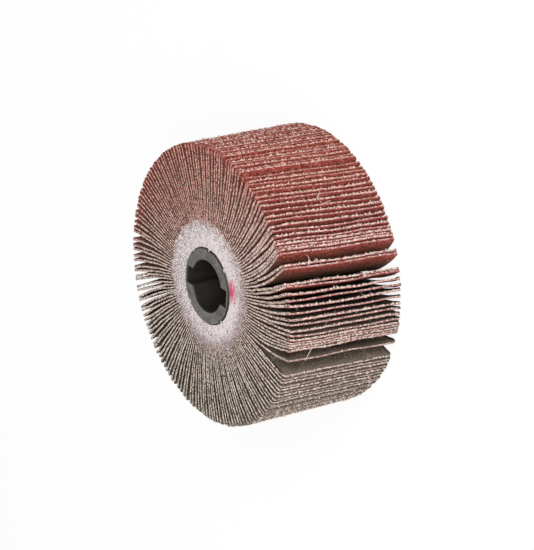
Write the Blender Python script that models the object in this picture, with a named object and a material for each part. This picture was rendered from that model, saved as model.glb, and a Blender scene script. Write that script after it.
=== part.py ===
"""Abrasive flap wheel for the keyed spindle of a burnishing machine.

The wheel stands on the rear end of its bushes at Z = 0 and its front end face looks up.
Its axis is the Z axis, and the two drive keyways of the bore lie along X.

Three pieces make it up. Abrasive cloth flaps are cast into a ring of epoxy resin,
which makes one solid fan, and two moulded half bushes line the hole of that ring,
one from each end. Angles run counter-clockwise when the wheel is seen from above.
"""

import math

import bmesh
import bpy
from mathutils import Matrix, Vector

MM = 0.001

# The whole wheel: its width is that of the flaps and the resin.
WHEEL_DIAMETER = 105.0 * MM
WHEEL_WIDTH = 48.6 * MM

# The moulded bushes, each seen from its own end face, which stands proud of the resin.
BUSH_PROUD = 0.7 * MM
BORE_DIAMETER = 19.2 * MM
KEYWAY_DEPTH = 3.3 * MM
KEYWAY_WIDTH = 6.3 * MM
BUSH_WALL = 1.6 * MM
LAND_LENGTH = 6.4 * MM
LAND_HEIGHT = 0.4 * MM
MOUTH_CHAMFER = 0.4 * MM
RIM_CHAMFER = 0.6 * MM
NOTCH_WIDTH = 1.3 * MM
NOTCH_DEPTH = 1.1 * MM
NOTCH_PLACES = 8

# The cast ring of resin round the bushes.
RESIN_DEPTH = 10.5 * MM

# Clearances: bush to resin all round, and between the inner ends of the bushes.
SEAT_CLEARANCE = 0.3 * MM
MEETING_CLEARANCE = 0.3 * MM

# The flaps: stiff cloth, packed side by side where they leave the resin.
FLAP_THICKNESS = 0.6 * MM
ROOT_SPACE = 0.38 * MM
TIP_SPACE = 0.12 * MM
CORNER_WEAR = 1.3 * MM

# How the flaps have set: the front tips lean ahead of their roots, more so on one side.
# The flaps sit a little askew, so roots and tips wind back on their way to the rear face.
TIP_LEAN = math.radians(2.7)
LEAN_SWAY = math.radians(2.0)
SWAY_DIRECTION = math.radians(10.0)
ROOT_WINDING = math.radians(6.0)
TIP_WINDING = math.radians(3.3)
BEND_POWER = 1.5
TIP_SCATTER = math.radians(0.4)

# Where worn flaps have parted: the direction of the roots and how much wider
# the tips stand apart there, both in degrees. Each parting crowds its neighbours.
PARTINGS = (
    (-15.8, 5.8),
    (-11.3, 1.7),
    (9.0, 3.0),
    (15.8, 2.1),
    (20.3, 4.3),
    (24.8, 1.5),
    (54.0, 0.8),
    (67.5, 2.2),
    (81.0, 1.2),
    (166.5, 1.0),
    (178.0, 1.3),
    (200.2, 1.1),
    (211.5, 0.9),
)
PARTING_REACH = math.radians(10.0)

# Fineness of the facets.
FLAP_STEPS = 4
BUSH_SIDES = 96
SEAT_SIDES = 72
CUT_MARGIN = 1.0 * MM

# Sizes that follow from the ones above.
WHEEL_RADIUS = WHEEL_DIAMETER / 2
BORE_RADIUS = BORE_DIAMETER / 2
REAR_FACE = BUSH_PROUD
FRONT_FACE = REAR_FACE + WHEEL_WIDTH
BUSH_RADIUS = BORE_RADIUS + KEYWAY_DEPTH + BUSH_WALL
BUSH_SPAN = WHEEL_WIDTH + 2 * BUSH_PROUD
BUSH_LENGTH = (BUSH_SPAN - MEETING_CLEARANCE) / 2
SEAT_RADIUS = BUSH_RADIUS + SEAT_CLEARANCE
RESIN_RADIUS = BUSH_RADIUS + RESIN_DEPTH
FLAP_COUNT = int(2 * math.pi * RESIN_RADIUS / (FLAP_THICKNESS + ROOT_SPACE))


def clear_scene():
    """Remove whatever the scene starts with."""
    for item in list(bpy.data.objects):
        bpy.data.objects.remove(item, do_unlink=True)


def make_material(name, colour, roughness, metallic=0.0):
    """A Principled material from a linear colour."""
    material = bpy.data.materials.new(name)
    material.use_nodes = True
    shader = material.node_tree.nodes["Principled BSDF"]
    shader.inputs["Base Color"].default_value = (*colour, 1.0)
    shader.inputs["Roughness"].default_value = roughness
    shader.inputs["Metallic"].default_value = metallic
    return material


def make_object(name, bm, materials):
    """Turn a finished bmesh into a named object with its materials."""
    mesh = bpy.data.meshes.new(name)
    bm.to_mesh(mesh)
    bm.free()
    for material in materials:
        mesh.materials.append(material)
    thing = bpy.data.objects.new(name, mesh)
    bpy.context.collection.objects.link(thing)
    return thing


def polar(radius, angle, height):
    """A point at a radius and angle about the wheel's axis."""
    return Vector((radius * math.cos(angle), radius * math.sin(angle), height))


def notch_directions():
    """Directions of the outer notches: evenly round the bush, none behind a keyway."""
    directions = []
    for place in range(NOTCH_PLACES):
        direction = 2 * math.pi * place / NOTCH_PLACES
        from_keyway = abs(math.sin(direction)) * BUSH_RADIUS
        if from_keyway > KEYWAY_WIDTH / 2 + NOTCH_WIDTH:
            directions.append(direction)
    return directions


def flap_angles():
    """Root and tip angle of every flap on the front face.

    The roots are evenly spaced. A tip runs ahead of its root by the lean, and each
    parting pushes it away by half the opening, which fades with the distance. The
    spacing of the tips is then shared out so that no two come nearer than TIP_SPACE.
    """
    pitch = 2 * math.pi / FLAP_COUNT
    golden = (math.sqrt(5) - 1) / 2
    roots = [(number + 0.5) * pitch for number in range(FLAP_COUNT)]
    wanted = []
    for number, root in enumerate(roots):
        tip = root + TIP_LEAN + LEAN_SWAY * math.cos(root - SWAY_DIRECTION)
        tip += TIP_SCATTER * (number * golden % 1 - 0.5)
        for degrees, opening in PARTINGS:
            away = math.remainder(root - math.radians(degrees), 2 * math.pi)
            fade = math.exp(-abs(away) / PARTING_REACH)
            tip += math.copysign(math.radians(opening) / 2 * fade, away)
        wanted.append(tip)

    least = (FLAP_THICKNESS + TIP_SPACE) / WHEEL_RADIUS
    following = wanted[1:] + [wanted[0] + 2 * math.pi]
    spare = [max(after - before - least, 0.0) for before, after in zip(wanted, following)]
    share = (2 * math.pi - FLAP_COUNT * least) / sum(spare)
    tips = [wanted[0]]
    for space in spare[:-1]:
        tips.append(tips[-1] + least + space * share)
    return list(zip(roots, tips))


def flap_outline(root, tip, height, inward):
    """Edge of one flap on an end face: its trailing and its leading side, from root to tip.

    The edge stops short of the tip by the worn corner, and its last point lies at the tip
    and as far inward from the face, so each corner of the flap is cut off.
    """
    shoulder = WHEEL_RADIUS - CORNER_WEAR
    places = []
    for step in range(FLAP_STEPS + 1):
        radius = RESIN_RADIUS + (shoulder - RESIN_RADIUS) * step / FLAP_STEPS
        places.append((radius, height))
    places.append((WHEEL_RADIUS, height + CORNER_WEAR * inward))

    trailing = []
    leading = []
    for radius, level in places:
        reach = (radius - RESIN_RADIUS) / (WHEEL_RADIUS - RESIN_RADIUS)
        back = (FRONT_FACE - level) / WHEEL_WIDTH
        wound_root = root - ROOT_WINDING * back
        wound_tip = tip - TIP_WINDING * back
        angle = wound_root + (wound_tip - wound_root) * reach ** BEND_POWER
        half = FLAP_THICKNESS / 2 / radius
        trailing.append(polar(radius, angle - half, level))
        leading.append(polar(radius, angle + half, level))
    return trailing, leading


def seat_outline(height):
    """Hole of the resin ring at a height: a circle with a tab in every notch of the bush."""
    tab_radius = BUSH_RADIUS - NOTCH_DEPTH + SEAT_CLEARANCE
    tab_half = NOTCH_WIDTH / 2 - SEAT_CLEARANCE
    tab_angle = math.asin(tab_half / SEAT_RADIUS)
    directions = notch_directions()
    outline = []
    for direction, following in zip(directions, directions[1:] + [directions[0] + 2 * math.pi]):
        across = Vector((-math.sin(direction), math.cos(direction), 0.0)) * tab_half
        inner = polar(tab_radius, direction, height)
        outline.append(polar(SEAT_RADIUS, direction - tab_angle, height))
        outline.append(inner - across)
        outline.append(inner + across)
        start = direction + tab_angle
        span = following - tab_angle - start
        steps = max(2, round(SEAT_SIDES * span / (2 * math.pi)))
        outline += [polar(SEAT_RADIUS, start + span * step / steps, height) for step in range(steps)]
    return outline


def loft_side(bm, rear, front):
    """Wall between two matching rows of vertices, cut along the same diagonal everywhere.

    The rows run from root to tip. Both sides of a flap use it, so the space between
    two neighbours stays even although each wall is slightly wound.
    """
    faces = []
    for step in range(len(rear) - 1):
        faces.append(bm.faces.new((rear[step], rear[step + 1], front[step + 1])))
        faces.append(bm.faces.new((rear[step], front[step + 1], front[step])))
    return faces


def fill_ring(bm, outer, inner, upward):
    """Flat end of the resin ring, between the roots of the flaps and the seat of the bushes."""
    edges = []
    for loop in (outer, inner):
        for here, there in zip(loop, loop[1:] + loop[:1]):
            edges.append(bm.edges.get((here, there)) or bm.edges.new((here, there)))
    direction = Vector((0.0, 0.0, 1.0 if upward else -1.0))
    filled = bmesh.ops.triangle_fill(bm, use_beauty=True, edges=edges, normal=direction)
    faces = [item for item in filled["geom"] if isinstance(item, bmesh.types.BMFace)]
    for face in faces:
        face.normal_update()
        if face.normal.dot(direction) < 0:
            face.normal_flip()
    return faces


def build_flap_pack(cloth, resin):
    """The fan: every flap lofted from the rear face to the front face on the resin ring."""
    bm = bmesh.new()
    roots = ([], [])
    resin_faces = []
    for root, tip in flap_angles():
        outlines = []
        for end, (height, inward) in enumerate(((REAR_FACE, 1), (FRONT_FACE, -1))):
            trailing, leading = flap_outline(root, tip, height, inward)
            trailing = [bm.verts.new(point) for point in trailing]
            leading = [bm.verts.new(point) for point in leading]
            outlines.append((trailing, leading))
            roots[end].extend((trailing[0], leading[0]))
        (rear_trail, rear_lead), (front_trail, front_lead) = outlines
        loft_side(bm, rear_trail, front_trail)
        for face in loft_side(bm, rear_lead, front_lead):
            face.normal_flip()
        bm.faces.new((rear_trail[-1], rear_lead[-1], front_lead[-1], front_trail[-1]))
        for step in range(FLAP_STEPS + 1):
            bm.faces.new((front_trail[step], front_trail[step + 1], front_lead[step + 1], front_lead[step]))
            bm.faces.new((rear_trail[step], rear_lead[step], rear_lead[step + 1], rear_trail[step + 1]))

    rear_roots, front_roots = roots
    for place in range(1, 2 * FLAP_COUNT, 2):
        ahead = (place + 1) % (2 * FLAP_COUNT)
        corners = (rear_roots[place], rear_roots[ahead], front_roots[ahead], front_roots[place])
        resin_faces.append(bm.faces.new(corners))

    rear_seat = [bm.verts.new(point) for point in seat_outline(REAR_FACE)]
    front_seat = [bm.verts.new(point) for point in seat_outline(FRONT_FACE)]
    for place in range(len(rear_seat)):
        ahead = (place + 1) % len(rear_seat)
        corners = (rear_seat[ahead], rear_seat[place], front_seat[place], front_seat[ahead])
        resin_faces.append(bm.faces.new(corners))

    resin_faces += fill_ring(bm, rear_roots, rear_seat, upward=False)
    resin_faces += fill_ring(bm, front_roots, front_seat, upward=True)
    for face in resin_faces:
        face.material_index = 1
    return make_object("flap_pack", bm, (cloth, resin))


def build_turned(name, profile, sides, materials):
    """A closed ring turned about Z from a profile of radius and height points."""
    bm = bmesh.new()
    points = [bm.verts.new((radius, 0.0, height)) for radius, height in profile]
    edges = [bm.edges.new(pair) for pair in zip(points, points[1:] + points[:1])]
    bmesh.ops.spin(
        bm,
        geom=points + edges,
        cent=(0.0, 0.0, 0.0),
        axis=(0.0, 0.0, 1.0),
        angle=2 * math.pi,
        steps=sides,
        use_merge=True,
    )
    bmesh.ops.recalc_face_normals(bm, faces=bm.faces)
    for face in bm.faces:
        face.smooth = True
    turned = make_object(name, bm, materials)
    turned.data.set_sharp_from_angle(angle=math.radians(30.0))
    return turned


def add_block(bm, size, direction, distance, height):
    """A box in a cutter, its middle at a distance from the axis along a direction."""
    block = bmesh.ops.create_cube(bm, size=1.0)["verts"]
    bmesh.ops.scale(bm, vec=size, verts=block)
    bmesh.ops.translate(bm, vec=(distance, 0.0, height), verts=block)
    bmesh.ops.rotate(bm, cent=(0.0, 0.0, 0.0), matrix=Matrix.Rotation(direction, 3, "Z"), verts=block)


def build_bush(name, plastic):
    """A half bush with its end face at Z = 0: bearing land, relief, keyways and notches."""
    relief_radius = BORE_RADIUS + LAND_HEIGHT
    profile = (
        (BORE_RADIUS + MOUTH_CHAMFER, 0.0),
        (BUSH_RADIUS - RIM_CHAMFER, 0.0),
        (BUSH_RADIUS, RIM_CHAMFER),
        (BUSH_RADIUS, BUSH_LENGTH),
        (relief_radius, BUSH_LENGTH),
        (relief_radius, LAND_LENGTH),
        (BORE_RADIUS, LAND_LENGTH),
        (BORE_RADIUS, MOUTH_CHAMFER),
    )
    bush = build_turned(name, profile, BUSH_SIDES, (plastic,))

    cuts = bmesh.new()
    through = BUSH_LENGTH + 2 * CUT_MARGIN
    keyway_span = 2 * (BORE_RADIUS + KEYWAY_DEPTH)
    add_block(cuts, (keyway_span, KEYWAY_WIDTH, through), 0.0, 0.0, BUSH_LENGTH / 2)
    notch_length = NOTCH_DEPTH + CUT_MARGIN
    notch_middle = BUSH_RADIUS - NOTCH_DEPTH + notch_length / 2
    for direction in notch_directions():
        add_block(cuts, (notch_length, NOTCH_WIDTH, through), direction, notch_middle, BUSH_LENGTH / 2)
    cutter = make_object(name + "_cuts", cuts, ())
    cutter.parent = bush
    cutter.hide_render = True
    cutter.display_type = "WIRE"

    cut = bush.modifiers.new("Keyways and notches", "BOOLEAN")
    cut.operation = "DIFFERENCE"
    cut.solver = "EXACT"
    cut.object = cutter
    return bush


def main():
    """Model the wheel."""
    clear_scene()
    cloth = make_material("Abrasive cloth", (0.27, 0.11, 0.085), 0.9)
    resin = make_material("Cast epoxy resin", (0.66, 0.60, 0.60), 0.7)
    plastic = make_material("Moulded black nylon", (0.035, 0.034, 0.032), 0.5)

    build_flap_pack(cloth, resin)
    build_bush("rear_bush", plastic)
    front = build_bush("front_bush", plastic)
    front.location = (0.0, 0.0, BUSH_SPAN)
    front.rotation_euler = (math.pi, 0.0, 0.0)


main()
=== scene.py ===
"""Looks of an abrasive flap wheel, dressed onto its packed construction.

The wheel stands on its rear end face, its axis is Z and the keyways lie along X.
Each flap is a strip of coated cloth of its own, cast into a ring of epoxy resin,
and two moulded bushes line the bore. All lengths are in metres, and angles run
counter-clockwise when the wheel is seen from above.
"""

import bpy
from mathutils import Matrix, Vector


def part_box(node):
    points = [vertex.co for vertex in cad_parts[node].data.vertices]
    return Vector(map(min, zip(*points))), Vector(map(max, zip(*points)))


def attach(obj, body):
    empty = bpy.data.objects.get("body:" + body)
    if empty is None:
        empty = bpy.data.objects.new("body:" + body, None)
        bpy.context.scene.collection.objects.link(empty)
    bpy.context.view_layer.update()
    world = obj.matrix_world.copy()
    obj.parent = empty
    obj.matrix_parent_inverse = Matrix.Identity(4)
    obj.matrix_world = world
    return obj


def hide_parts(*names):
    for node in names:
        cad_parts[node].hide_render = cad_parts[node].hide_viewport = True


bl_info = {
    "name": "Abrasive Flap Wheel",
    "version": (1, 0, 0),
    "blender": (4, 5, 0),
    "location": "3D View > Sidebar > Flap Wheel",
    "description": "Builds the cloth flaps, the resin ring and the keyed bushes of a finishing wheel",
    "category": "Object",
}

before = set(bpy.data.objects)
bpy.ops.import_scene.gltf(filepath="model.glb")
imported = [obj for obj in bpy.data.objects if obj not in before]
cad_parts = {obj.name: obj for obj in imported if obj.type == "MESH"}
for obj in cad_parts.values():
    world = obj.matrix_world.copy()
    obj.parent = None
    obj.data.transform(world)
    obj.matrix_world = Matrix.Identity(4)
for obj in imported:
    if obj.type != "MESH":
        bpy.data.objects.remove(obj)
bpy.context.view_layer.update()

import math
from functools import partial

import bpy
import numpy as np

MM = 0.001
TURN = 2 * math.pi

PACK_LOW, PACK_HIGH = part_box("flap_pack")
BUSH_LOW, BUSH_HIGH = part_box("front_bush")

# Where worn flaps have parted, or closed up: the direction of the roots and how much wider,
# or closer, the tips stand there, both in degrees.
PARTINGS = np.array((
    (-15.8, 5.8), (-13.5, 3.3), (-11.3, -0.7), (-9.0, -1.0), (-6.8, -0.4), (-4.5, -1.1),
    (0.0, 0.5), (2.3, 0.7), (4.5, 0.3), (6.8, 0.9), (9.0, 1.2), (11.3, 1.5),
    (13.5, 0.5), (15.8, 1.9), (18.0, -0.6), (20.3, 4.8), (24.8, 2.9), (29.3, -0.6),
    (31.5, -1.0), (33.8, -0.5), (36.0, -0.5), (40.5, 0.5), (49.5, 0.9), (51.8, 0.5),
    (54.0, -0.4), (56.3, 0.9), (67.5, 2.2), (81.0, 1.2), (166.5, 1.0), (178.0, 1.3),
    (200.2, 0.6), (211.5, 0.4),
))

# Where the tips lean more, or less, than in the construction: the direction of the roots,
# the change there and how far it reaches on either side, all in degrees.
LEANS = np.array((
    (98.0, -1.8, 22.0),
    (195.0, 3.0, 22.0),
    (262.0, 2.0, 14.0),
))

# Long threads that have worked loose: direction in degrees, height above the rear face
# and length in millimetres, then how they start out and how they bend, each along the
# circle and along the axis, against an outward share of one half.
LOOSE_THREADS = (
    (54.0, 25.6, 3.0, 0.9, -0.6, 0.3, -0.6),
    (49.5, 25.2, 3.6, 0.3, -1.0, 0.0, -0.6),
    (49.5, 24.6, 2.2, 0.9, -0.2, 0.2, 0.3),
    (49.5, 25.0, 1.8, -0.2, 0.8, 0.3, 0.5),
    (30.4, 36.9, 2.4, 1.2, 0.0, 0.3, 0.2),
    (30.4, 35.4, 1.3, 0.9, -0.5, 0.2, -0.3),
    (-4.6, 38.0, 4.4, -0.5, 0.9, -1.2, -0.2),
    (-4.8, 19.6, 2.6, 0.8, -0.8, 0.2, -0.5),
    (-17.5, 43.7, 2.0, 0.6, 0.6, 0.4, -0.3),
    (-28.0, 9.2, 2.6, 0.6, -0.9, 0.3, -0.6),
    (-32.0, 37.9, 2.8, 0.7, -0.8, -0.4, -0.7),
    (152.0, 22.0, 3.2, 0.7, 0.5, -0.4, 0.5),
    (236.0, 14.0, 2.8, -0.6, 0.4, 0.3, 0.6),
)

# How far the pairing of tips and the splay of side edges reach round the wheel, and the
# least and the greatest share of a gap that a side edge splays into.
PAIR_REACH = math.radians(16.0)
SPLAY_REACH = math.radians(26.0)
SPLAY_SHARES = (0.1, 0.24)

# Waves that all flaps share: size, length along the axis, turns round the wheel and start.
SHARED_WAVES = (
    (0.14 * MM, 47 * MM, 3, 0.0),
    (0.07 * MM, 23 * MM, -5, 1.0),
)

# Wear of one flap: the least and the widest gap that counts beside it, its own wave, the
# wave of its slack, the curl of its corners, the kinks, raggedness and splay of its side
# edges, how much shorter than the rest its tip may be, and the share of it that flares.
GAP_LIMITS = (0.05 * MM, 1.6 * MM)
OWN_WAVE, OWN_SHARE = 28 * MM, 0.10
SLACK_WAVE = 60 * MM
FRONT_CURL, FRONT_CURL_REACH = 0.35 * MM, 1.6 * MM
REAR_CURL, REAR_CURL_REACH = 0.25 * MM, 2.0 * MM
KINK, KINK_REACH = 0.07 * MM, 0.9 * MM
SIDE_RAGGED, SPLAY_DEPTH = 0.07 * MM, 0.5 * MM
TIP_UNEVEN = 0.4 * MM
FLARED_SHARE = 0.07

# A frayed tip is more jagged and flares more than a bonded one, and has more hairs: tufts
# of yarn and single fibres. The side edges have thread ends.
FRAYED_JAG, BONDED_JAG = 0.15 * MM, 0.07 * MM
FRAYED_FLARE, BONDED_FLARE = 0.26 * MM, 0.12 * MM
FRAYED_TUFTS, BONDED_TUFTS = 32, 7
FRAYED_FIBRES, BONDED_FIBRES = 56, 22
THREAD_ENDS = 24

# Diameters of a stub of yarn, a single fibre, a thread end and a long loose thread, and how
# far inside the rim the long ones start.
YARN = 0.5 * MM
FIBRE = 0.13 * MM
THREAD_END = 0.28 * MM
LOOSE_THREAD = 0.36 * MM
LOOSE_INSIDE = 0.7 * MM

# Where the points of a flap lie: shares of its free length, and millimetres from each end
# of its width, with even steps between.
FREE_SHARES = (0.0, 0.08, 0.17, 0.27, 0.37, 0.48, 0.59, 0.70, 0.80, 0.89, 0.95, 0.985, 1.0)
END_STEPS = (0.0, 0.25, 0.6, 1.0, 1.6, 2.4)
MIDDLE_MARGIN, MIDDLE_STEPS = 3.4 * MM, 34

# The resin ring: points across its face and down its walls, the waves, steps and roughness
# of its ragged rim, the size of its bumps, how its last two points fall at the rim, and how
# far its face may rise.
FACE_POINTS, WALL_POINTS = 26, 6
RIM_WAVE, RIM_DEPTH = 7 * MM, 0.3 * MM
RIM_STEP, RIM_ROUGHNESS = 0.45 * MM, 0.1 * MM
FINE_BUMPS, COARSE_BUMPS = 1.1 * MM, 4.5 * MM
RIM_FALL = (0.35 * MM, 1.1 * MM)
MOST_RISE = 0.25 * MM

# Edges sharper than this angle stay sharp. The wall of a notch lies between two directions,
# this many radians to either side of it. No sine or cosine that divides is smaller than
# the least one.
SHARP_EDGE = math.radians(42.0)
WALL_STEP = 1e-4
LEAST_SINE = 1e-6

# Points round the bushes and round the resin, before those at the notches.
BUSH_SIDES = 480
RESIN_SIDES = 640

# Radians of a wave node's bands in each unit of its scaled coordinate.
WAVE_NODE_SCALE = 20

# The stage: half the floor's side, white, the paper, the light of the room, and each lamp's
# name, place, size and power. The camera was fitted to the photo's outline.
FLOOR_REACH = 6.0
WHITE = (1.0, 1.0, 1.0, 1.0)
PAPER = (0.86, 0.86, 0.86, 1.0)
ROOM_LIGHT = 0.42
LAMPS = (
    ("key", (0.58, 0.62, 0.62), 0.4, 4.65),
    ("front fill", (0.78, 0.30, 0.50), 0.4, 4.1),
    ("side fill", (0.75, -0.35, 0.45), 0.7, 1.3),
)
CAMERA_PLACE = (0.6778, 0.3757, 0.5099)
CAMERA_TURN = (-19.0805, 55.7714, 6.3537)
CAMERA_LENS = 162.9
CAMERA_SENSOR = 36.0


def linear(code):
    """Linear colour of an sRGB hex code, each channel by the sRGB curve, and full alpha."""
    levels = [int(code[place:place + 2], 16) / 255 for place in (1, 3, 5)]
    return (*(v / 12.92 if v <= 0.04045 else ((v + 0.055) / 1.055) ** 2.4 for v in levels), 1.0)


def length(name, description, default):
    """A length property in metres."""
    return bpy.props.FloatProperty(
        name=name, description=description, default=default, min=0.0, precision=5, unit="LENGTH"
    )


def angle(name, description, degrees):
    """An angle property, given in degrees."""
    return bpy.props.FloatProperty(
        name=name, description=description, default=math.radians(degrees), subtype="ANGLE"
    )


def colour(name, description, code):
    """A colour property, given as an sRGB hex code."""
    settings = {"size": 4, "min": 0.0, "max": 1.0, "subtype": "COLOR"}
    return bpy.props.FloatVectorProperty(
        name=name, description=description, default=linear(code), **settings
    )


class FlapSizes(bpy.types.PropertyGroup):
    """Sizes of the cloth flaps and how they have set."""

    wheel_radius: length("Wheel radius", "From the axis to the tips", (PACK_HIGH.x - PACK_LOW.x) / 2)
    wheel_width: length("Wheel width", "From the rear to the front edge", PACK_HIGH.z - PACK_LOW.z)
    rear_face: length("Rear face", "Height of the rear edges", PACK_LOW.z)
    resin_radius: length("Resin radius", "Where the flaps leave the resin", 25.0 * MM)
    root_radius: length("Root radius", "Where the flaps begin inside the resin", 20.4 * MM)
    thickness: length("Thickness", "Cloth with its grain", 0.6 * MM)
    bond: length("Bond", "The grain and its bond, within the thickness", 0.2 * MM)
    tip_space: length("Tip space", "Least space between two tips", 0.12 * MM)
    least_corner: length("Least corner", "Rounding of the sharpest corners", 0.3 * MM)
    most_corner: length("Most corner", "Rounding of the most worn corners", 1.8 * MM)
    splay_direction: angle("Splay direction", "Where the side edges have splayed most", 36.0)
    worn_direction: angle("Worn direction", "Where the corners are most worn", -50.0)
    count: bpy.props.IntProperty(name="Flaps", description="Flaps round the wheel", default=160, min=3)
    lean: angle("Lean", "How far the front tips run ahead of their roots", 2.7)
    sway: angle("Sway", "How much the lean differs round the wheel", 2.0)
    sway_direction: angle("Sway direction", "Where the lean is greatest", 10.0)
    root_winding: angle("Root winding", "How far a root winds back on its way to the rear face", 6.0)
    tip_winding: angle("Tip winding", "How far a tip winds back on its way to the rear face", 3.3)
    scatter: angle("Scatter", "Unevenness of the tips", 0.4)
    pairing: angle("Pairing", "How far tips have closed up in pairs", 0.45)
    pair_direction: angle("Pair direction", "Where tips have closed up in pairs", 200.0)
    parting_reach: angle("Parting reach", "How far a parting crowds its neighbours", 10.0)
    bend_power: bpy.props.FloatProperty(
        name="Bend", description="Higher bends nearer the tip", default=1.5
    )
    wander: bpy.props.FloatProperty(
        name="Wander", description="Share of a gap that a flap strays into", default=0.3
    )
    seed: bpy.props.IntProperty(name="Seed", description="Seed of the wear", default=13)


class HubSizes(bpy.types.PropertyGroup):
    """Sizes of the resin ring and the bushes in it."""

    bush_radius: length("Bush radius", "Outer radius of the bushes", (BUSH_HIGH.x - BUSH_LOW.x) / 2)
    bush_length: length("Bush length", "Length of one half bush", BUSH_HIGH.z - BUSH_LOW.z)
    bush_span: length("Bush span", "From end to end of both bushes", BUSH_HIGH.z)
    bore_radius: length("Bore radius", "Radius of the bearing land", 9.6 * MM)
    land_length: length("Land length", "Length of the bearing land", 6.4 * MM)
    land_height: length("Land height", "Step from the land to the relieved bore", 0.4 * MM)
    keyway_reach: length("Keyway reach", "From the axis to the bottom of a keyway", 12.9 * MM)
    keyway_width: length("Keyway width", "Width of a drive keyway", 6.3 * MM)
    notch_width: length("Notch width", "Width of an outer notch", 1.3 * MM)
    notch_depth: length("Notch depth", "Depth of an outer notch", 1.1 * MM)
    rim_chamfer: length("Rim chamfer", "Chamfer round the outside", 0.6 * MM)
    mouth_chamfer: length("Mouth chamfer", "Chamfer round the bore", 0.4 * MM)
    notch_places: bpy.props.IntProperty(
        name="Notch places", description="Places round the bush", default=8
    )


class WheelColours(bpy.types.PropertyGroup):
    """Colours of the cloth, the resin and the plastic."""

    grain: colour("Grain", "Red-brown fused alumina in its bond", "#9B4339")
    grain_dark: colour("Grain pits", "Bond between the grains", "#552A20")
    grain_light: colour("Grain points", "Points that catch the light", "#C67D6E")
    grain_deep: colour("Deep grain", "Dull brown grain deeper in from the tip", "#77604C")
    backing: colour("Backing", "Filled drill cloth", "#615A4C")
    # Painted light: a paler backing colour near the tip.
    backing_painted_light: colour("Painted light on backing", "Cloth painted paler near the tip as painted light", "#8B8375")
    backing_dark: colour("Backing grooves", "Between the threads of the cloth", "#4A3A2B")
    cut: colour("Cut cloth", "Cut thread ends", "#C9B2A6")
    tip: colour("Worn tip", "Thread ends worn flat and dusty with grain", "#A27F73")
    cut_dark: colour("Cut cloth pits", "Glue between the thread ends", "#5C4036")
    burr: colour("Burr", "Bond drawn over a cut edge", "#9C474C")
    dust: colour("Dust", "Pale grinding dust", "#BDB5A9")
    fluff: colour("Fluff", "Loose cotton fibres", "#EEDBD0")
    resin: colour("Resin", "Clean cast epoxy", "#EBDFDF")
    resin_stain: colour("Resin stain", "Resin between the flap roots", "#B39A9B")
    pit: colour("Resin pit", "Burst bubbles and specks full of dust", "#5A4C4A")
    dab: colour("Paint dab", "Red marking paint", "#D24C72")
    plastic: colour("Plastic", "Black glass-filled nylon", "#121110")
    scuff: colour("Scuffed plastic", "Plastic rubbed grey", "#807A74")


def sizes_of(context):
    """The three property groups of the scene."""
    scene = context.scene
    return scene.flap_sizes, scene.hub_sizes, scene.wheel_colours


def connect(node, inputs):
    """Set or link the inputs of a node, given in order, or by name or number."""
    for key, value in inputs.items() if isinstance(inputs, dict) else enumerate(inputs):
        if isinstance(value, bpy.types.NodeSocket):
            node.id_data.links.new(value, node.inputs[key])
        else:
            node.inputs[key].default_value = value


def add_node(tree, kind, inputs=(), output=0, stops=(), **settings):
    """Add one shader node with its settings and links, and return one of its outputs.

    A ramp also gets its stops. A mix of colours takes the share at input 0 and the colours
    at 6 and 7, and gives output 2. The scale of a pattern is one over the size of its patches.
    """
    made = tree.nodes.new("ShaderNode" + kind)
    for name, value in settings.items():
        setattr(made, name, value)
    connect(made, inputs)
    for place, (position, shade) in enumerate(stops):
        elements = made.color_ramp.elements
        stop = elements[place] if place < len(elements) else elements.new(position)
        stop.position = position
        stop.color = shade
    return made.outputs[output]


def new_material(name):
    """A material, its add_node, its Principled shader and its object coordinates."""
    material = bpy.data.materials.new(name)
    material.use_nodes = True
    add = partial(add_node, material.node_tree)
    shader = material.node_tree.nodes["Principled BSDF"]
    return material, add, shader, add("TexCoord", output="Object")


def cells(add, place, size):
    """Random value and distance from the middle, for cells of the given size."""
    made = add("TexVoronoi", {"Vector": place, "Scale": 1 / size}).node.outputs
    return add("SeparateColor", (made["Color"],), "Red"), made["Distance"]


def dress(add, shader, colour_from, height_from, depth, strength, roughness, specular):
    """Give a shader its colour, its fine relief of the given depth, and its shine."""
    relief = add("Bump", {"Height": height_from, "Strength": strength, "Distance": depth})
    connect(shader, {"Base Color": colour_from, "Normal": relief})
    connect(shader, {"Roughness": roughness, "Specular IOR Level": specular})


def radius_of(add, place):
    """Value socket of the distance from the wheel's axis."""
    flat = add("VectorMath", (place, (1.0, 1.0, 0.0)), operation="MULTIPLY")
    return add("VectorMath", (flat,), "Value", operation="LENGTH")


def painted_gap_shade(add, place, sizes, darkest):
    """Shade factor that falls from 1 to the darkest over the last millimetre to a side edge.

    This is painted shade: it darkens the walls of the gaps between flaps, where shade falls,
    so the eye sees dark lines between the pale edges. The outermost two millimetres of a flap,
    which stand free, get less of this painted shade, but not toward -X.
    """
    split = add("SeparateXYZ", (place,)).node.outputs
    half = sizes.wheel_width / 2
    above = add("Math", (split["Z"], sizes.rear_face + half), operation="SUBTRACT")
    away = add("Math", (above,), operation="ABSOLUTE")
    # Painted shade grows from 1.4 mm to 0.3 mm before the front and rear faces.
    dust_and_shade = add("MapRange", (away, half - 1.4 * MM, half - 0.3 * MM, 0.0, darkest - 1.0))
    # The free tips get less painted shade, except toward -X.
    at_tip = add("MapRange", (split["X"], -25.0 * MM, 0.0, 0.9, 0.2))
    rim = (sizes.wheel_radius - 2.5 * MM, sizes.wheel_radius - 0.5 * MM)
    inside = add("MapRange", (radius_of(add, place), *rim, 1.0, at_tip))
    return add("Math", (dust_and_shade, inside, 1.0), operation="MULTIPLY_ADD")


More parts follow.
